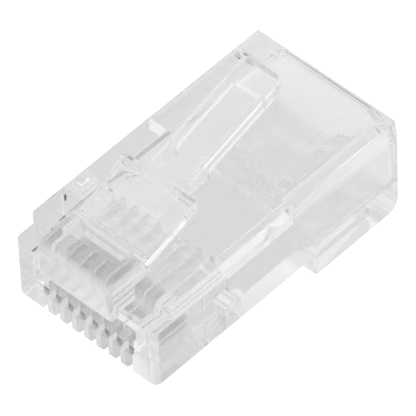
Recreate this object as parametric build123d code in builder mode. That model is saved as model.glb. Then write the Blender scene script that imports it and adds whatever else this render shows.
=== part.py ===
"""Eight-way modular plug: a clear moulded housing and its sprung latch.

X runs across the plug, Y from the nose (-) to the cable end (+), Z up.
The origin is under the middle of the plug, on the level of the cable section's underside.
Lengths are millimetres and angles degrees. Distances named setback are measured from the comb's front.
"""

import os
from math import atan2, cos, radians, sin, tan

from build123d import *

os.makedirs("parts", exist_ok=True)

# Outer moulding
overall_length = 22.5
body_width = 11.68
body_height = 7.85
cable_section_length = 7.75
underside_step = 1.52
shoulder_drop = 1.25
shoulder_setback = 1.4
corner_radius = 0.5
underside_radius = 0.6
heel_radius = 1.0
block_toe_radius = 0.45
side_land_height = 0.75
side_land_inset = 0.12

# Comb of fins that guides the contact springs of the jack
ways = 8
pitch = 1.02
fin_thickness = 0.4
comb_depth = 3.9
spring_slot_height = 1.75
blade_slot_width = 0.42
comb_front_wall = 0.85
insert_groove_width = 0.2
insert_groove_depth = 0.14
insert_groove_setback = 4.25

# Wire channels above the comb
channel_width = 0.86
channel_level = 4.15
channel_height = 1.25
channel_vee = 0.35
channel_end_setback = 7.0

# Cable cavity
cavity_width = 8.8
cavity_floor = 1.75
cavity_ceiling = 6.3
cavity_corner_radius = 1.1
throat_floor = 2.9
throat_drop_length = 1.2
throat_ceiling = 5.5
throat_end_setback = 12.9
floor_ramp_length = 1.9
ceiling_ramp_length = 0.5
funnel_radius = 4.4
funnel_length = 1.7
funnel_draft = 55.0
mouth_flare = 0.5
mouth_flare_length = 3.0
mouth_chamfer = 0.35

# Bars pressed in to clamp the wires and the cable jacket
wire_pocket_setback = 6.3
wire_pocket_length = 1.35
wire_pocket_depth = 1.9
wire_bar_thickness = 0.7
wire_bar_depth = 1.35
wire_bar_rake = 0.2
wire_bar_end_gap = 0.3
pocket_side_wall = 0.45
jacket_window_width = 6.6
jacket_window_length = 4.6
jacket_window_margin = 1.4
jacket_bar_gap = 0.25
jacket_bar_height = 1.85
jacket_bar_heel = 0.7
jacket_bar_recess = 0.12
jacket_web_length = 0.5
jacket_web_level = 0.35
jacket_web = 0.25

# Nose block at the root of the latch
nose_width = 6.0
nose_reach = 0.85
nose_rise = 1.5
nose_overlap = 0.3
nose_radius = 0.8
nose_edge_radius = 0.3
recess_width = 4.1
recess_setback = 0.9
recess_length = 1.35
recess_depth = 0.95
recess_draft = 20.0
recess_corner_radius = 0.25

# Latch
latch_angle = 16.7
latch_length = 13.6
arm_thickness = 0.66
hinge_setback = 2.75
hinge_drop = 0.6
hinge_gap = 0.05
tab_width = 3.2
tab_thickness = 0.95
tab_corner_radius = 0.6
ear_start_setback = 5.05
ear_crest_setback = 6.5
ear_rear_setback = 7.05
ear_rise = 0.55
ear_gap = 3.5
valley_width = 0.8
ear_clearance = 1.7
panel_width = 3.1
panel_rise = 0.08
gusset_length = 2.5
gusset_slant = 0.2
rib_width = 0.55
web_thickness = 0.6
rib_lead = 0.3
rib_ramp_length = 1.2
tab_pad = 0.6
edge_radius = 0.15
relief_depth = 0.05
relief_end_margin = 1.0

# Stations along Y
nose_front = -overall_length / 2
rear = overall_length / 2
comb_front = nose_front + nose_reach
shoulder_front = comb_front + shoulder_setback
step_station = rear - cable_section_length
channel_back = comb_front + channel_end_setback
throat_back = comb_front + throat_end_setback
wire_pocket_front = comb_front + wire_pocket_setback
wire_pocket_back = wire_pocket_front + wire_pocket_length
wire_bar_front = (wire_pocket_front + wire_pocket_back - wire_bar_thickness) / 2
wire_bar_back = wire_bar_front + wire_bar_thickness
window_front = step_station + jacket_window_margin
window_back = window_front + jacket_window_length
jacket_bar_front = window_front + jacket_bar_gap
jacket_bar_back = window_back - jacket_web_length
hinge_y = comb_front + hinge_setback
ear_start = comb_front + ear_start_setback
ear_crest = comb_front + ear_crest_setback
ear_rear = comb_front + ear_rear_setback
latch_tip = hinge_y + latch_length

# Levels along Z
shoulder_level = body_height - shoulder_drop
nose_top = body_height + nose_rise
nose_bottom = shoulder_level - nose_overlap
spring_slot_top = underside_step + spring_slot_height
channel_top = channel_level + channel_height
wire_pocket_top = underside_step + wire_pocket_depth
mouth_bottom = cavity_floor - mouth_flare
mouth_height = cavity_ceiling - mouth_bottom
mouth_middle = (mouth_bottom + cavity_ceiling) / 2
hinge_z = nose_top - hinge_drop
latch_underside = body_height + ear_clearance

# Latch arm: a straight bar of even thickness rising from the hinge
hinge_radius = arm_thickness / 2
arm_sin = sin(radians(latch_angle))
arm_cos = cos(radians(latch_angle))
arm_slope = tan(radians(latch_angle))
underside_start = hinge_y + (latch_underside - hinge_z + hinge_radius / arm_cos) / arm_slope
gusset_back = ear_rear + gusset_length
rib_front = ear_rear + rib_lead
rib_back = latch_tip - tab_pad

# Overrun of a cutting shape past the face that it cuts
overrun = 0.5

way_places = [(way - (ways - 1) / 2) * pitch for way in range(ways)]


def station(y):
    """Plane across the plug at a station along Y, looking towards the cable end."""
    return Plane(origin=(0, y, 0), x_dir=(-1, 0, 0), z_dir=(0, 1, 0))


def arm_level(y, offset):
    """Level at station y of a line parallel to the latch arm, offset square to its middle line."""
    return hinge_z + (y - hinge_y) * arm_slope + offset / arm_cos


# Ears: wedges that rise from the top of the arm to their crest
ear_top = arm_level(ear_crest, hinge_radius) + ear_rise
ear_angle = atan2(ear_top - arm_level(ear_start, hinge_radius), ear_crest - ear_start)
valley_depth = ear_rise + hinge_radius


with BuildPart() as nose_block:
    with BuildSketch(Plane.YZ):
        Polygon(
            (nose_front, nose_bottom),
            (hinge_y, nose_bottom),
            (hinge_y, nose_top),
            (nose_front, nose_top),
            align=None,
        )
    extrude(amount=nose_width / 2, both=True)
    fillet(nose_block.edges().filter_by(Axis.X).sort_by(Axis.Y)[:2].sort_by(Axis.Z)[-1], nose_radius)
    front_edges = nose_block.edges().filter_by(Axis.Z).sort_by(Axis.Y)[:2]
    fillet(front_edges + nose_block.faces().sort_by(Axis.Z)[0].edges().sort_by(Axis.Y)[:1], nose_edge_radius)
    # Recess that thins the root of the latch
    with BuildSketch(Plane.XY.offset(nose_top)):
        with Locations((0, comb_front + recess_setback + recess_length / 2)):
            RectangleRounded(recess_width, recess_length, recess_corner_radius)
    extrude(amount=-recess_depth, taper=recess_draft, mode=Mode.SUBTRACT)


with BuildPart() as cavity_core:
    # Space for the wires and the jacket, drawn from the side
    with BuildSketch(Plane.YZ):
        with BuildLine():
            Polyline(
                (channel_back, channel_level),
                (channel_back, channel_top),
                (throat_back, throat_ceiling),
                (throat_back + ceiling_ramp_length, cavity_ceiling),
                (rear, cavity_ceiling),
                (rear, mouth_bottom),
                (rear - mouth_flare_length, cavity_floor),
                (throat_back + floor_ramp_length, cavity_floor),
                (throat_back, throat_floor),
                (channel_back + throat_drop_length, throat_floor),
            )
            TangentArc(
                (channel_back, channel_level),
                (channel_back + throat_drop_length, throat_floor),
                tangent=(1, 0),
            )
        make_face()
    extrude(amount=cavity_width / 2, both=True)
    # Rounded corners all along it
    with BuildSketch(station(rear)):
        with Locations((0, mouth_middle)):
            RectangleRounded(cavity_width, mouth_height, cavity_corner_radius)
    extrude(amount=channel_back - rear, mode=Mode.INTERSECT)
    # Bowed end of the throat's roof, which gathers the wires
    with BuildSketch(Plane.XY.offset(cavity_ceiling)):
        with Locations((0, throat_back + funnel_length - funnel_radius)):
            Circle(funnel_radius)
    extrude(amount=throat_ceiling - cavity_ceiling, taper=funnel_draft, mode=Mode.SUBTRACT)


with BuildPart() as housing:
    # Outer block, drawn from the side
    with BuildSketch(Plane.YZ):
        Polygon(
            (comb_front, underside_step),
            (step_station, underside_step),
            (step_station, 0),
            (rear, 0),
            (rear, body_height),
            (shoulder_front, body_height),
            (shoulder_front, shoulder_level),
            (comb_front, shoulder_level),
            align=None,
        )
    extrude(amount=body_width / 2, both=True)
    uprights = housing.edges().filter_by(Axis.Z).group_by(Axis.Y)
    fillet(uprights[0] + uprights[1], corner_radius)
    base_edges = housing.faces().sort_by(Axis.Z)[0].edges().filter_by(Axis.X).sort_by(Axis.Y)
    fillet(base_edges[0], underside_radius)
    fillet(base_edges[-1], heel_radius)
    toe = housing.edges().filter_by(Axis.X).filter_by_position(Axis.Y, nose_front, comb_front + corner_radius)
    fillet(toe.sort_by(Axis.Z)[0], block_toe_radius)

    # Steep lands along the two upper edges
    with BuildSketch(station(rear)):
        Polygon(
            (body_width / 2, body_height),
            (body_width / 2, body_height - side_land_height),
            (body_width / 2 - side_land_inset, body_height),
            align=None,
        )
        mirror(about=Plane.YZ)
    extrude(amount=-overall_length, mode=Mode.SUBTRACT)

    add(nose_block.part)
    add(cavity_core.part, mode=Mode.SUBTRACT)

    # Open slots of the comb for the springs of the jack
    with BuildSketch(station(comb_front - overrun)):
        with Locations(*[(x, (underside_step - overrun + spring_slot_top) / 2) for x in way_places]):
            Rectangle(pitch - fin_thickness, spring_slot_height + overrun)
    extrude(amount=comb_depth + overrun, mode=Mode.SUBTRACT)

    # Blade slots from the comb up into the wire channels
    with BuildSketch(station(comb_front + comb_front_wall)):
        with Locations(*[(x, (spring_slot_top + channel_level + channel_vee) / 2) for x in way_places]):
            Rectangle(blade_slot_width, channel_level + channel_vee - spring_slot_top)
    extrude(amount=comb_depth - comb_front_wall, mode=Mode.SUBTRACT)

    # Wire channels: flat above, vee-shaped below
    with BuildSketch(station(comb_front + comb_front_wall)):
        with Locations(*[(x, channel_level) for x in way_places]):
            Polygon(
                (0, 0),
                (channel_width / 2, channel_vee),
                (channel_width / 2, channel_height),
                (-channel_width / 2, channel_height),
                (-channel_width / 2, channel_vee),
                align=None,
            )
    extrude(amount=channel_back - comb_front - comb_front_wall + overrun, mode=Mode.SUBTRACT)

    # Witness groove round the comb insert
    with BuildSketch(station(comb_front + insert_groove_setback)):
        with Locations((0, (underside_step + nose_bottom) / 2)):
            Rectangle(body_width + overrun, nose_bottom - underside_step)
        with Locations((0, (underside_step + insert_groove_depth + nose_bottom) / 2)):
            Rectangle(
                body_width - 2 * insert_groove_depth,
                nose_bottom - underside_step - insert_groove_depth,
                mode=Mode.SUBTRACT,
            )
    extrude(amount=insert_groove_width, mode=Mode.SUBTRACT)

    # Pocket and bar that clamp the wires
    pocket_width = body_width - 2 * pocket_side_wall
    with BuildSketch(Plane.YZ):
        Polygon(
            (wire_pocket_front, underside_step - overrun),
            (wire_pocket_back, underside_step - overrun),
            (wire_pocket_back, wire_pocket_top),
            (wire_pocket_front, wire_pocket_top),
            align=None,
        )
    extrude(amount=pocket_width / 2, both=True, mode=Mode.SUBTRACT)
    with BuildSketch(Plane.YZ):
        Polygon(
            (wire_bar_front, wire_pocket_top + overrun / 2),
            (wire_bar_front + wire_bar_rake, wire_pocket_top - wire_bar_depth),
            (wire_bar_back, wire_pocket_top - wire_bar_depth),
            (wire_bar_back, wire_pocket_top + overrun / 2),
            align=None,
        )
    extrude(amount=pocket_width / 2 - wire_bar_end_gap, both=True)

    # Window and hinged bar that clamp the cable jacket
    with BuildSketch(Plane.XY.offset(-overrun)):
        with Locations((0, (window_front + window_back) / 2)):
            Rectangle(jacket_window_width, jacket_window_length)
    extrude(amount=cavity_floor + 2 * overrun, mode=Mode.SUBTRACT)
    with BuildSketch(Plane.YZ):
        Polygon(
            (jacket_bar_front, jacket_bar_recess),
            (jacket_bar_back, jacket_bar_recess),
            (jacket_bar_back, jacket_web_level),
            (window_back + overrun, jacket_web_level),
            (window_back + overrun, jacket_web_level + jacket_web),
            (jacket_bar_back, jacket_web_level + jacket_web),
            (jacket_bar_back - jacket_bar_gap, jacket_bar_heel),
            (jacket_bar_front, jacket_bar_height),
            align=None,
        )
    extrude(amount=jacket_window_width / 2 - jacket_bar_gap, both=True)

    # Lead-in at the cable mouth
    with BuildSketch(station(rear)):
        with Locations((0, mouth_middle)):
            RectangleRounded(
                cavity_width + 2 * mouth_chamfer,
                mouth_height + 2 * mouth_chamfer,
                cavity_corner_radius + mouth_chamfer,
            )
    extrude(amount=-mouth_chamfer, taper=45, mode=Mode.SUBTRACT)

    # Shallow relief under the latch
    with BuildSketch(Plane.XY.offset(body_height - relief_depth)):
        with Locations((0, (hinge_y + rear - relief_end_margin) / 2)):
            Rectangle(nose_width, rear - relief_end_margin - hinge_y)
    extrude(amount=overrun, mode=Mode.SUBTRACT)

    # Round seat of the latch in the back of the nose
    with BuildSketch(Plane.YZ):
        with Locations((hinge_y, hinge_z)):
            Circle(hinge_radius + hinge_gap)
    extrude(amount=nose_width / 2 + overrun, both=True, mode=Mode.SUBTRACT)

housing.part.label = "housing"
export_step(housing.part, "parts/housing.step")


with BuildPart() as ears:
    # Ridge across the latch, square behind
    with BuildSketch(Plane.YZ):
        Polygon(
            (ear_start, arm_level(ear_start, hinge_radius)),
            (ear_start, arm_level(ear_start, 0)),
            (ear_rear, arm_level(ear_rear, 0)),
            (ear_rear, ear_top),
            (ear_crest, ear_top),
            align=None,
        )
    extrude(amount=nose_width / 2, both=True)
    # Valley with sloping flanks that leaves an ear on each side
    with BuildSketch(Plane((0, ear_crest, ear_top), x_dir=(-1, 0, 0), z_dir=(0, cos(ear_angle), sin(ear_angle)))):
        Polygon(
            (-ear_gap / 2, overrun),
            (-ear_gap / 2, 0),
            (-valley_width / 2, -valley_depth),
            (valley_width / 2, -valley_depth),
            (ear_gap / 2, 0),
            (ear_gap / 2, overrun),
            align=None,
        )
    extrude(amount=ear_rear - ear_start, both=True, mode=Mode.SUBTRACT)


with BuildPart() as latch:
    # Wide arm, from the rounded root to the back of the ears
    with BuildSketch(Plane.YZ):
        with Locations((hinge_y, hinge_z)):
            Circle(hinge_radius)
        Polygon(
            (hinge_y - hinge_radius * arm_sin, hinge_z + hinge_radius * arm_cos),
            (hinge_y + hinge_radius * arm_sin, hinge_z - hinge_radius * arm_cos),
            (underside_start, latch_underside),
            (ear_rear, latch_underside),
            (ear_rear, arm_level(ear_rear, hinge_radius)),
            align=None,
        )
    extrude(amount=nose_width / 2, both=True)

    # Finger tab, stiffened by a gusset behind the ears
    tab_offset = hinge_radius - tab_thickness
    gusset_end = gusset_back + gusset_slant
    with BuildSketch(Plane.YZ):
        Polygon(
            (ear_start, arm_level(ear_start, hinge_radius)),
            (ear_start, arm_level(ear_start, -hinge_radius)),
            (underside_start, latch_underside),
            (gusset_back, latch_underside),
            (gusset_end, arm_level(gusset_end, tab_offset)),
            (latch_tip, arm_level(latch_tip, tab_offset)),
            (latch_tip, arm_level(latch_tip, hinge_radius)),
            align=None,
        )
    extrude(amount=tab_width / 2, both=True)
    tip_edges = latch.faces().sort_by(Axis.Y)[-1].edges().sort_by(Axis.X)
    fillet([tip_edges[0], tip_edges[-1]], tab_corner_radius)
    arm_top = latch.faces().sort_by(SortBy.AREA)[-1]
    fillet(arm_top.edges().sort_by(Axis.Y)[1:], edge_radius)

    add(ears.part)

    # Flat panel between the ears
    with BuildSketch(Plane.YZ):
        Polygon(
            (ear_start, arm_level(ear_start, 0)),
            (ear_crest, arm_level(ear_crest, 0)),
            (ear_crest, arm_level(ear_crest, hinge_radius + panel_rise)),
            (ear_start, arm_level(ear_start, hinge_radius + panel_rise)),
            align=None,
        )
    extrude(amount=panel_width / 2, both=True)

    # Channel under the tab, between its two side ribs
    web_offset = hinge_radius - web_thickness
    web_front = rib_front + rib_ramp_length
    web_back = rib_back - rib_ramp_length
    with BuildSketch(Plane.YZ):
        Polygon(
            (rib_front, latch_underside - overrun),
            (web_front, arm_level(web_front, web_offset)),
            (web_back, arm_level(web_back, web_offset)),
            (rib_back, arm_level(rib_back, tab_offset - overrun)),
            (gusset_end, latch_underside - overrun),
            align=None,
        )
    extrude(amount=tab_width / 2 - rib_width, both=True, mode=Mode.SUBTRACT)

latch.part.label = "latch"
export_step(latch.part, "parts/latch.step")
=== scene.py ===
"""Clear eight-way modular plug on a white studio floor, seen from above its front right corner."""

import logging
import math
from dataclasses import dataclass
from enum import Enum

import bmesh
import bpy
from mathutils import Matrix, Vector


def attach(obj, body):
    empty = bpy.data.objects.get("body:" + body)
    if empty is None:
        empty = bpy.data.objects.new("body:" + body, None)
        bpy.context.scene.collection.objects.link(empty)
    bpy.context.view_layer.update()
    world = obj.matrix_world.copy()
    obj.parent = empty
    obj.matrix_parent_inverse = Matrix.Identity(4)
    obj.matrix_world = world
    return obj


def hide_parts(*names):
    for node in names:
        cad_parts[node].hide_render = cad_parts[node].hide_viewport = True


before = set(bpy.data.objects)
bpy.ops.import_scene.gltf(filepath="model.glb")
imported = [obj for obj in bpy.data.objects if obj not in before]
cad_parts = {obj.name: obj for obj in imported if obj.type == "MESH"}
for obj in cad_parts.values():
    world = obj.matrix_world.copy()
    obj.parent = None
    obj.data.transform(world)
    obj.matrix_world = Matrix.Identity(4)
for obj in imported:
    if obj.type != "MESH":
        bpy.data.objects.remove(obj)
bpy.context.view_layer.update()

LOG = logging.getLogger("modular_plug")
MM = 0.001


def linear(hex_colour: str) -> tuple[float, float, float, float]:
    """Turn an sRGB hex colour into the linear colour that a shader socket takes, by the sRGB standard's curve.

    Args:
        hex_colour: Six hex digits with a leading hash.

    Returns:
        Linear red, green and blue with an alpha of one.
    """
    channels = [int(hex_colour[i:i + 2], 16) / 255 for i in (1, 3, 5)]
    red, green, blue = (c / 12.92 if c <= 0.04045 else ((c + 0.055) / 1.055) ** 2.4 for c in channels)
    return red, green, blue, 1.0


def add_node(tree: bpy.types.NodeTree, kind: str, values: dict | None = None, **settings) -> bpy.types.Node:
    """Add one node with its settings and its input values or links.

    Args:
        tree: Node tree that takes the node.
        kind: Node type, such as ShaderNodeMix.
        values: Input name or number to a value, or to what is linked in: an output socket, or a node's first output.
        **settings: Attributes of the node.

    Returns:
        The new node.
    """
    node = tree.nodes.new(kind)
    for name, value in settings.items():
        setattr(node, name, value)
    for key, value in (values or {}).items():
        source = value.outputs[0] if isinstance(value, bpy.types.Node) else value
        if isinstance(source, bpy.types.NodeSocket):
            tree.links.new(source, node.inputs[key])
        else:
            node.inputs[key].default_value = source
    return node


def new_material(name: str) -> bpy.types.Material:
    """Make an empty node material.

    Args:
        name: Name of the material.

    Returns:
        The material, with no nodes in its tree.
    """
    material = bpy.data.materials.new(name)
    material.use_nodes = True
    material.node_tree.nodes.clear()
    return material


class Surface(Enum):
    """Kinds of surface that the mould leaves, and the painted shade that some of them carry, numbered as the slots of
    a piece's materials.
    """

    POLISHED = 0
    FROSTED = 1
    SATIN = 2
    # Matt, with a grey tint that paints the shade in the slots.
    GROUND = 3
    # Dark tint that paints the shade at the deep ends of the slots.
    SHADED = 4


@dataclass(frozen=True)
class ClearPolycarbonate:
    """Injection-moulded clear polycarbonate.

    It is water-white and bends what is behind it strongly, so the edges inside show as bright and dark lines. The
    melt's flow leaves faint waves in its gloss and its surface.

    Attributes:
        name: Name of the material.
        roughness: Middle roughness of its surface.
        tint: Colour that one face gives to what passes through it.
        shadow_tint: Colour that one face gives to the lamps' light on its way to the floor.
        ior: How strongly the plastic bends light.
        flow_length: Length of a flow mark, which is a millimetre or two.
        flow_height: Height of a flow mark, which is about a micrometre.
        flow_detail: Levels of finer marks in the large ones.
        flow_contrast: Share that each finer level keeps.
        flow_distortion: How far the marks are drawn out of shape.
        gloss_spread: Difference in roughness between the marks' crests and valleys.
        most_reflections: Number of reflections after which a ray goes straight on.
        most_bounces: Number of bounces of any kind after which a ray goes straight on.
    """

    name: str
    roughness: float
    tint: str = "#FCFCFC"
    shadow_tint: str = "#FDFDFD"
    ior: float = 1.585
    flow_length: float = 1.6 * MM
    flow_height: float = 0.0012 * MM
    flow_detail: float = 2.0
    flow_contrast: float = 0.4
    flow_distortion: float = 0.6
    gloss_spread: float = 0.05
    most_reflections: int = 3
    most_bounces: int = 9

    def build(self) -> bpy.types.Material:
        """Make the material.

        Returns:
            Clear moulded plastic that lets most of the lamps' light through to the floor.
        """
        material = new_material(self.name)
        tree = material.node_tree
        plastic = self.add_plastic(tree)
        passed = add_node(tree, "ShaderNodeBsdfTransparent", {"Color": linear(self.shadow_tint)})
        shader = add_node(tree, "ShaderNodeMixShader", {0: self.add_straight_rays(tree), 1: plastic, 2: passed})
        add_node(tree, "ShaderNodeOutputMaterial", {"Surface": shader})
        return material

    def add_plastic(self, tree: bpy.types.NodeTree) -> bpy.types.Node:
        """Add the plastic's shader, with the flow marks in its gloss and its surface.

        Args:
            tree: Node tree of the material.

        Returns:
            Node of the shader.
        """
        place = add_node(tree, "ShaderNodeTexCoord").outputs["Object"]
        flow = add_node(tree, "ShaderNodeTexNoise", {
            "Vector": place,
            "Scale": 1 / self.flow_length,
            "Detail": self.flow_detail,
            "Roughness": self.flow_contrast,
            "Distortion": self.flow_distortion,
        })
        gloss = add_node(tree, "ShaderNodeMath", {
            0: flow, 1: self.gloss_spread, 2: self.roughness - self.gloss_spread / 2,
        }, operation="MULTIPLY_ADD")
        waves = add_node(tree, "ShaderNodeBump", {"Strength": 1.0, "Distance": self.flow_height, "Height": flow})
        return add_node(tree, "ShaderNodeBsdfPrincipled", {
            "Base Color": linear(self.tint),
            "Roughness": gloss,
            "IOR": self.ior,
            "Transmission Weight": 1.0,
            "Normal": waves,
        })

    def add_straight_rays(self, tree: bpy.types.NodeTree) -> bpy.types.Node:
        """Add the choice of the rays that go straight through the plastic.

        They are the shadow rays, and those that have bounced so often that they would end dark in the plastic.

        Args:
            tree: Node tree of the material.

        Returns:
            Node that gives one for these rays and zero for the others.
        """
        rays = add_node(tree, "ShaderNodeLightPath").outputs
        straight: bpy.types.NodeSocket | bpy.types.Node = rays["Is Shadow Ray"]
        for depth, most in (("Glossy Depth", self.most_reflections), ("Ray Depth", self.most_bounces)):
            # A depth is a whole number, so half a step less counts the limit itself.
            spent = add_node(tree, "ShaderNodeMath", {0: rays[depth], 1: most - 0.5}, operation="GREATER_THAN")
            straight = add_node(tree, "ShaderNodeMath", {0: straight, 1: spent}, operation="MAXIMUM")
        return straight


# Finishes that the mould leaves, and the painted shade in the slots.
FINISHES_AND_SHADES = {
    # Moulded against polished steel: glassy, with sharp reflections and a clear view of what is inside.
    Surface.POLISHED: ClearPolycarbonate("clear_polycarbonate", 0.07),
    # Moulded against the fine spark-eroded steel of the thin cores: milky, so the comb glows in the light behind it.
    Surface.FROSTED: ClearPolycarbonate("frosted_polycarbonate", 0.3, tint="#FFFFFF"),
    # Moulded against brushed steel: a soft sheen, with what is behind it a little blurred.
    Surface.SATIN: ClearPolycarbonate("satin_polycarbonate", 0.25, tint="#FFFFFF"),
    # Moulded against ground steel, which leaves it matt; its grey tint is painted shade in the slots, so that they
    # show as grey bars.
    Surface.GROUND: ClearPolycarbonate("ground_and_shaded_polycarbonate", 0.5, tint="#D4D4D4"),
    # Painted shade: a dark tint on the deep end of a slot, where hardly any light comes, so that it shows as a small
    # dark square.
    Surface.SHADED: ClearPolycarbonate("painted_shade_polycarbonate", 0.3, tint="#404040"),
}


@dataclass(frozen=True)
class Box:
    """Part of a piece, as a box in millimetres.

    The box stands to the right of the piece's middle plane and counts for the left as well.

    Attributes:
        low: Its lowest x, y and z.
        high: Its highest x, y and z.
    """

    low: tuple[float, float, float]
    high: tuple[float, float, float]

    def holds(self, point: Vector) -> bool:
        """Tell whether a point lies in the box.

        Args:
            point: The point, in metres.

        Returns:
            True where it does.
        """
        place = (abs(point.x), point.y, point.z)
        return all(low * MM <= value < high * MM for low, value, high in zip(self.low, place, self.high))


@dataclass(frozen=True)
class Region(Box):
    """Box in which the faces have a surface of their own, which the mould leaves or which carries painted shade.

    Attributes:
        surface: Kind of that surface.
    """

    surface: Surface


@dataclass
class MouldedPiece:
    """A piece of the moulding: the true form from the model, with its long outer edges eased as a mould eases them.

    Outer edges are the convex ones that bend by more than the least bend and less than the most, and lie outside the
    inner box. Where two regions overlap, the first one counts.

    Attributes:
        node: Node of the model that the piece stands for.
        name: Name of the piece.
        regions: Where its surface is anything but polished.
        inner: Box round the edges that lie inside the plug or in its openings.
        edge_radius: Radius of an eased edge.
        edge_steps: Number of faces across an eased edge.
        round_profile: Profile of an eased edge, here an arc of a circle.
        shortest_edge: Length that an edge has to pass to be eased.
        least_bend: Bend that an edge has to pass to be eased.
        most_bend: Bend from which an edge is too sharp to be eased.
        merge_distance: Distance up to which two corners are one.
        flat_angle: Angle up to which neighbouring faces are one flat face.
        sharp_angle: Angle from which an edge is shaded as a sharp one.
        flat_weight: How much the larger face decides the shading at a corner.
    """

    node: str
    name: str
    regions: tuple[Region, ...]
    inner: Box | None = None
    edge_radius: float = 0.08 * MM
    edge_steps: int = 4
    round_profile: float = 0.5
    shortest_edge: float = 0.6 * MM
    least_bend: float = math.radians(35)
    most_bend: float = math.radians(125)
    merge_distance: float = 0.0005 * MM
    flat_angle: float = math.radians(0.5)
    sharp_angle: float = math.radians(24)
    flat_weight: int = 100

    def build(self, finishes_and_shades: dict[Surface, bpy.types.Material]) -> bpy.types.Object:
        """Make the piece and hide the model's part that it stands for.

        Args:
            finishes_and_shades: Material of each kind of surface.

        Returns:
            The finished piece.
        """
        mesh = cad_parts[self.node].data.copy()
        mesh.name = self.name
        shape = bmesh.new()
        shape.from_mesh(mesh)
        self.refine(shape)
        shape.to_mesh(mesh)
        shape.free()
        self.dress(mesh, finishes_and_shades)
        piece = bpy.data.objects.new(self.name, mesh)
        bpy.context.scene.collection.objects.link(piece)
        self.shade(piece)
        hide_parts(self.node)
        return piece

    def refine(self, shape: bmesh.types.BMesh) -> None:
        """Join the loose triangles into flat faces and ease the outer edges.

        Args:
            shape: The piece, which is changed.
        """
        bmesh.ops.remove_doubles(shape, verts=shape.verts, dist=self.merge_distance)
        bmesh.ops.dissolve_limit(
            shape, angle_limit=self.flat_angle, verts=shape.verts, edges=shape.edges, delimit={"NORMAL"}
        )
        self.ease(shape)

    def ease(self, shape: bmesh.types.BMesh) -> None:
        """Round the long outer edges that have room for it, longest first and mirrored ones together.

        Args:
            shape: The piece, which is changed.
        """
        shape.edges.ensure_lookup_table()
        outer = [edge for edge in shape.edges if self.is_outer(edge)]
        pairs: dict[tuple, list[int]] = {}
        for edge in sorted(outer, key=lambda edge: (-self.in_hundredths(edge.calc_length()), edge.index)):
            pairs.setdefault(self.mirrored_ends(edge), []).append(edge.index)
        eased: list[int] = []
        for pair in pairs.values():
            if self.has_room(shape, [*eased, *pair]):
                eased += pair
        faces = self.round_edges(shape, eased, self.edge_steps)
        LOG.info("%s: %d of %d outer edges eased with %d faces", self.name, len(eased), len(outer), len(faces))

    def is_outer(self, edge: bmesh.types.BMEdge) -> bool:
        """Tell whether an edge is a long outer one.

        Args:
            edge: Edge of the piece.

        Returns:
            True where it is.
        """
        if not edge.is_convex or edge.calc_length() <= self.shortest_edge:
            return False
        if not self.least_bend < edge.calc_face_angle() < self.most_bend:
            return False
        return not (self.inner and self.inner.holds((edge.verts[0].co + edge.verts[1].co) / 2))

    @staticmethod
    def in_hundredths(length: float) -> float:
        """Give a length in millimetres, rounded to a hundredth so that mirrored edges match."""
        return round(length / MM, 2)

    def mirrored_ends(self, edge: bmesh.types.BMEdge) -> tuple:
        """Give an edge's ends as they lie on the right of the middle plane, the same for an edge and its mirror image.

        Args:
            edge: Edge of the piece.

        Returns:
            Both ends in order.
        """
        ends = ((abs(end.co.x), end.co.y, end.co.z) for end in edge.verts)
        return tuple(sorted(tuple(self.in_hundredths(value) for value in end) for end in ends))

    def has_room(self, shape: bmesh.types.BMesh, numbers: list[int]) -> bool:
        """Try the mould's radius on some edges of a copy, by the area of the new faces.

        Args:
            shape: The piece.
            numbers: The edges' numbers.

        Returns:
            True where all of them take it, or nearly so.
        """
        length = sum(shape.edges[number].calc_length() for number in numbers)
        trial = shape.copy()
        area = sum(face.calc_area() for face in self.round_edges(trial, numbers, steps=1))
        trial.free()
        return area > self.edge_radius * length

    def round_edges(self, shape: bmesh.types.BMesh, numbers: list[int], steps: int) -> list[bmesh.types.BMFace]:
        """Round some edges by the mould's radius, or by less where they lack room.

        Args:
            shape: The piece, which is changed.
            numbers: The edges' numbers.
            steps: Number of faces across each edge.

        Returns:
            The new faces.
        """
        shape.edges.ensure_lookup_table()
        return bmesh.ops.bevel(
            shape, geom=[shape.edges[number] for number in numbers], offset=self.edge_radius, offset_type="OFFSET",
            segments=steps, profile=self.round_profile, affect="EDGES", clamp_overlap=True,
        )["faces"]

    def dress(self, mesh: bpy.types.Mesh, finishes_and_shades: dict[Surface, bpy.types.Material]) -> None:
        """Give each face the finish or painted shade of its region, or the polished one.

        Args:
            mesh: Mesh of the piece.
            finishes_and_shades: Material of each kind of surface.
        """
        mesh.materials.clear()
        for surface in Surface:
            mesh.materials.append(finishes_and_shades[surface])
        for face in mesh.polygons:
            found = (region.surface for region in self.regions if region.holds(face.center))
            face.material_index = next(found, Surface.POLISHED).value

    def shade(self, piece: bpy.types.Object) -> None:
        """Shade the flat faces flat, the round ones smooth and the corners sharp.

        Args:
            piece: The piece, which is changed.
        """
        piece.data.shade_smooth()
        piece.data.set_sharp_from_angle(angle=self.sharp_angle)
        flatten = piece.modifiers.new("flat_faces", "WEIGHTED_NORMAL")
        flatten.mode = "FACE_AREA"
        flatten.weight = self.flat_weight
        flatten.keep_sharp = True


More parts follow.
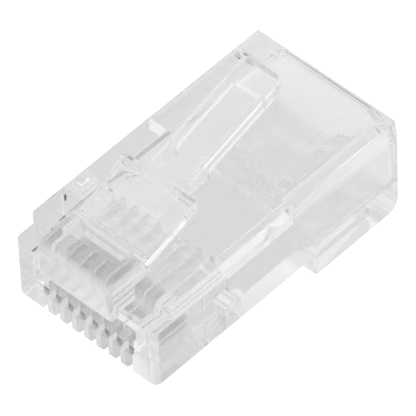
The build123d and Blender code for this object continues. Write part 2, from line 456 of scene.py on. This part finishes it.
@dataclass
class Housing(MouldedPiece):
    """Outer moulding, with the comb of fins, the wire channels and the cable cavity in it.

    Attributes:
        slot_ends: Box that holds the front ends of the blade slots, from their foot to the channels' roof.
        shade_top: Level up to which these ends are in the shade, which is painted on them as a dark tint.
    """

    node: str = "housing"
    name: str = "clear_housing"
    slot_ends: Box = Box((0, -9.6, 3.2), (4, -9.5, 5.5))
    shade_top: float = 3.62 * MM
    inner: Box | None = Box((0, -11.0, 0.1), (5.3, 11.0, 7.5))
    regions: tuple[Region, ...] = (
        # Front ends of the blade slots, with painted shade low down, and of the wire channels over them.
        Region((0, -9.6, 3.2), (4, -9.5, 3.62), Surface.SHADED),
        Region((0, -9.6, 3.62), (4, -9.5, 5.5), Surface.SATIN),
        # Front of the nose.
        Region((0, -11.4, 6.2), (3.1, -11.0, 9.4), Surface.SATIN),
        # Side walls of the blade slots, matt with a grey tint of painted shade, and the comb of fins under them.
        Region((0, -9.5, 3.3), (3.6, -6.4, 4.1), Surface.GROUND),
        Region((0, -9.9, 1.4), (3.7, -6.4, 3.3), Surface.FROSTED),
        # Recess in the nose.
        Region((0, -9.6, 8.3), (2.1, -8.0, 9.3), Surface.FROSTED),
        # Wire channels.
        Region((0, -9.7, 4.1), (4.1, -2.5, 5.5), Surface.SATIN),
        # Roof of the throat, with its ramp up to the cavity.
        Region((0, 2.0, 5.45), (4.5, 4.6, 6.35), Surface.SATIN),
        # Side walls of the throat and the cavity.
        Region((4.0, -3.6, 1.2), (4.5, 11.2, 6.25), Surface.SATIN),
    )

    def refine(self, shape: bmesh.types.BMesh) -> None:
        """Refine the piece, then part the slots' front ends at the top of their painted shade.

        Args:
            shape: The piece, which is changed.
        """
        super().refine(shape)
        ends = [face for face in shape.faces if self.slot_ends.holds(face.calc_center_median())]
        # Dictionaries hold these, because the order of a set differs from run to run.
        edges = dict.fromkeys(edge for face in ends for edge in face.edges)
        corners = dict.fromkeys(corner for face in ends for corner in face.verts)
        bmesh.ops.bisect_plane(
            shape, geom=[*ends, *edges, *corners], plane_co=(0, 0, self.shade_top), plane_no=(0, 0, 1)
        )
        self.order_faces(shape)

    @staticmethod
    def order_faces(shape: bmesh.types.BMesh) -> None:
        """Put the faces in the order of their corners, because a cut leaves them in another order each run.

        Args:
            shape: The piece, which is changed.
        """
        shape.verts.index_update()
        ordered = sorted(shape.faces, key=lambda face: [corner.index for corner in face.verts])
        for number, face in enumerate(ordered):
            face.index = number
        shape.faces.sort()


@dataclass
class Latch(MouldedPiece):
    """Sprung latch, from its root in the nose to the finger tab."""

    node: str = "latch"
    name: str = "clear_latch"
    regions: tuple[Region, ...] = (
        # Middle of the underside.
        Region((0, -3.2, 8.8), (1.0, 5.6, 11.3), Surface.SATIN),
        # Ramp under the tab's thicker end.
        Region((0, 4.0, 11.3), (1.0, 5.5, 12.2), Surface.SATIN),
    )


@dataclass(frozen=True)
class SoftZone:
    """Soft-edged zone of the room that is brighter or darker than the rest.

    Attributes:
        azimuth: Its direction round the plug, in degrees from +X to +Y.
        elevation: Its direction above the floor, in degrees.
        light: Strength that it adds at its middle, below zero for a darker zone.
        tightness: How fast that fades away from the middle.
    """

    azimuth: float
    elevation: float
    light: float
    tightness: float = 10.0

    def direction(self) -> Vector:
        """Give the direction from the plug to the zone's middle."""
        turn, rise = math.radians(self.azimuth), math.radians(self.elevation)
        return Vector((math.cos(turn) * math.cos(rise), math.sin(turn) * math.cos(rise), math.sin(rise)))

    def add(
        self, tree: bpy.types.NodeTree, place: bpy.types.NodeSocket, strength: bpy.types.Node | float
    ) -> bpy.types.Node:
        """Add the zone's light to a strength.

        Args:
            tree: Node tree of the world.
            place: Direction that is looked up.
            strength: Strength so far.

        Returns:
            Node that gives the strength with the zone in it.
        """
        facing = add_node(tree, "ShaderNodeVectorMath", {0: place, 1: self.direction()}, operation="DOT_PRODUCT")
        aside = add_node(tree, "ShaderNodeMath", {0: facing.outputs["Value"], 1: 1.0}, operation="SUBTRACT")
        faded = add_node(tree, "ShaderNodeMath", {0: aside, 1: self.tightness}, operation="MULTIPLY")
        share = add_node(tree, "ShaderNodeMath", {0: faded}, operation="EXPONENT")
        return add_node(tree, "ShaderNodeMath", {0: share, 1: self.light, 2: strength}, operation="MULTIPLY_ADD")


@dataclass
class Studio:
    """White floor, soft lamps and the camera of the photograph.

    Attributes:
        target: Point of the plug that the camera shows at the target pixel.
        azimuth: Turn of the camera round the plug, from its front to its right.
        elevation: Height of the camera above the floor, as an angle.
        roll: Turn of the camera about its line of sight.
        distance: Distance from the target to the camera.
        pixels_per_metre: Scale of the picture at the target.
        frame_size: Side of the square picture, in pixels.
        target_pixel: Place of the target in the picture, from its left and its top.
        sensor: Width of the camera's sensor, in its own millimetres.
        clip_start: Distance from which the camera sees things.
        clip_end: Distance up to which the camera sees things.
        floor_size: Side of the square floor.
        floor_colour: Colour of the floor's paint.
        air_gap: Distance between the floor and the plug's base.
        floor_glow: Light that lifts the floor to white for the camera.
        floor_glow_in_plastic: The same for rays that come off the plug or through it.
        lamp_light: Strength of the room as a lamp.
        tent_light: Strength of the room as the camera and the plastic see it, apart from the zones.
        zones: Zones of the room, which stand for its lamps and its dark corners.
    """

    target: tuple[float, float, float] = (0.0, 0.33 * MM, 4.0 * MM)
    azimuth: float = math.radians(45.381)
    elevation: float = math.radians(48.621)
    roll: float = math.radians(-2.813)
    distance: float = 463.129 * MM
    pixels_per_metre: float = 16349.0
    frame_size: float = 416.0
    target_pixel: tuple[float, float] = (206.759, 215.67)
    sensor: float = 36.0
    clip_start: float = 0.01
    clip_end: float = 10.0
    floor_size: float = 2.0
    floor_colour: str = "#F0F0F0"
    air_gap: float = 0.01 * MM
    floor_glow: float = 0.6
    floor_glow_in_plastic: float = 0.25
    lamp_light: float = 0.9
    tent_light: float = 0.92
    zones: tuple[SoftZone, ...] = (
        SoftZone(0, 55, 0.1),
        SoftZone(180, 50, 0.6, tightness=16.0),
        SoftZone(120, 55, -0.12),
        SoftZone(240, 55, -0.2),
        SoftZone(110, 18, 0.45),
    )

    def build_camera(self) -> None:
        """Make the camera."""
        out = Vector((
            math.sin(self.azimuth) * math.cos(self.elevation),
            -math.cos(self.azimuth) * math.cos(self.elevation),
            math.sin(self.elevation),
        ))
        level = Vector((math.cos(self.azimuth), math.sin(self.azimuth), 0.0))
        upright = out.cross(level)
        right = level * math.cos(self.roll) + upright * math.sin(self.roll)
        up = upright * math.cos(self.roll) - level * math.sin(self.roll)
        data = bpy.data.cameras.new("camera")
        data.sensor_width = self.sensor
        data.lens = self.sensor * self.distance * self.pixels_per_metre / self.frame_size
        data.shift_x = (self.frame_size / 2 - self.target_pixel[0]) / self.frame_size
        data.shift_y = (self.target_pixel[1] - self.frame_size / 2) / self.frame_size
        data.clip_start = self.clip_start
        data.clip_end = self.clip_end
        camera = bpy.data.objects.new("camera", data)
        turned = Matrix((right, up, out)).transposed().to_4x4()
        camera.matrix_world = Matrix.Translation(Vector(self.target) + out * self.distance) @ turned
        bpy.context.scene.collection.objects.link(camera)
        bpy.context.scene.camera = camera

    @staticmethod
    def add_plastic_rays(tree: bpy.types.NodeTree, rays: bpy.types.NodeOutputs) -> bpy.types.Node:
        """Add the choice of the rays that come off the plug or through it.

        Args:
            tree: Node tree that takes the node.
            rays: Outputs of a Light Path node.

        Returns:
            Node that gives one for these rays and zero for the others.
        """
        return add_node(
            tree, "ShaderNodeMath", {0: rays["Is Glossy Ray"], 1: rays["Is Transmission Ray"]}, operation="MAXIMUM"
        )

    def floor_material(self) -> bpy.types.Material:
        """Make the floor's white paint.

        Returns:
            Matt paint that is white to the camera, a little darker in the plastic, and keeps the plug's shadow.
        """
        material = new_material("studio_floor")
        tree = material.node_tree
        paint = add_node(tree, "ShaderNodeBsdfDiffuse", {"Color": linear(self.floor_colour)})
        rays = add_node(tree, "ShaderNodeLightPath").outputs
        in_plastic = add_node(tree, "ShaderNodeMath", {
            0: self.add_plastic_rays(tree, rays), 1: self.floor_glow_in_plastic,
        }, operation="MULTIPLY")
        glow = add_node(tree, "ShaderNodeMath", {
            0: rays["Is Camera Ray"], 1: self.floor_glow, 2: in_plastic,
        }, operation="MULTIPLY_ADD")
        light = add_node(tree, "ShaderNodeEmission", {"Strength": glow})
        both = add_node(tree, "ShaderNodeAddShader", {0: paint, 1: light})
        add_node(tree, "ShaderNodeOutputMaterial", {"Surface": both})
        return material

    def build_floor(self) -> None:
        """Make the white floor, a hair under the plug so that the two don't share a plane."""
        half = self.floor_size / 2
        corners = [(x * half, y * half, -self.air_gap) for x, y in ((-1, -1), (1, -1), (1, 1), (-1, 1))]
        mesh = bpy.data.meshes.new("studio_floor")
        mesh.from_pydata(corners, [], [(0, 1, 2, 3)])
        mesh.materials.append(self.floor_material())
        floor = bpy.data.objects.new("studio_floor", mesh)
        bpy.context.scene.collection.objects.link(floor)

    def build_world(self) -> None:
        """Light the room evenly and show it white, with the soft zones that the clear plastic picks up."""
        world = bpy.data.worlds.new("studio")
        world.use_nodes = True
        tree = world.node_tree
        tree.nodes.clear()
        rays = add_node(tree, "ShaderNodeLightPath").outputs
        seen = add_node(tree, "ShaderNodeMath", {
            0: rays["Is Camera Ray"], 1: self.add_plastic_rays(tree, rays),
        }, operation="MAXIMUM")
        place = add_node(tree, "ShaderNodeTexCoord").outputs["Generated"]
        tent: bpy.types.Node | float = self.tent_light
        for zone in self.zones:
            tent = zone.add(tree, place, tent)
        strength = add_node(tree, "ShaderNodeMix", {0: seen, 2: self.lamp_light, 3: tent})
        light = add_node(tree, "ShaderNodeBackground", {"Strength": strength})
        add_node(tree, "ShaderNodeOutputWorld", {"Surface": light})
        bpy.context.scene.world = world

    def build(self) -> None:
        """Make the whole studio."""
        self.build_camera()
        self.build_floor()
        self.build_world()
        bpy.context.scene.view_settings.view_transform = "Standard"


def main() -> None:
    """Build the plug and its studio."""
    logging.basicConfig(level=logging.INFO, format="%(name)s: %(message)s")
    finishes_and_shades = {surface: finish.build() for surface, finish in FINISHES_AND_SHADES.items()}
    for plan, body in ((Housing(), "housing"), (Latch(), "latch")):
        piece = plan.build(finishes_and_shades)
        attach(piece, body)
        LOG.info("%s: %d faces", piece.name, len(piece.data.polygons))
    Studio().build()


if __name__ == "__main__":
    main()
